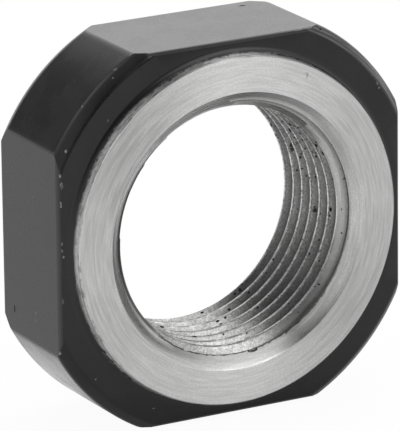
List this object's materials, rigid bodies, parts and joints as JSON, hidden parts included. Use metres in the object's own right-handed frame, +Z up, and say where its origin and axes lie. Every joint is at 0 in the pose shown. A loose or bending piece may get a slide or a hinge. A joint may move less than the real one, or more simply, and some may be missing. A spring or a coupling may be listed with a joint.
{
  "type": "lock nut",
  "caption": "round-bodied steel lock nut with milled spanner flats, a raised ground clamping ring and a fine internal thread",
  "frame": {"origin": "on the thread axis, at half the overall thickness", "axes": "+Y along the thread axis, away from the ground ring; +Z up, square to a flat, with the nut standing on its lower flat; +X to the right"},
  "size_m": [0.022, 0.008, 0.022],
  "materials": {
    "blackened_steel": "blackened steel, satin; the ground ring, the leads and the thread are bare bright steel"
  },
  "bodies": {
    "root": {"lock_nut": "blackened_steel"}
  },
  "joints": []
}
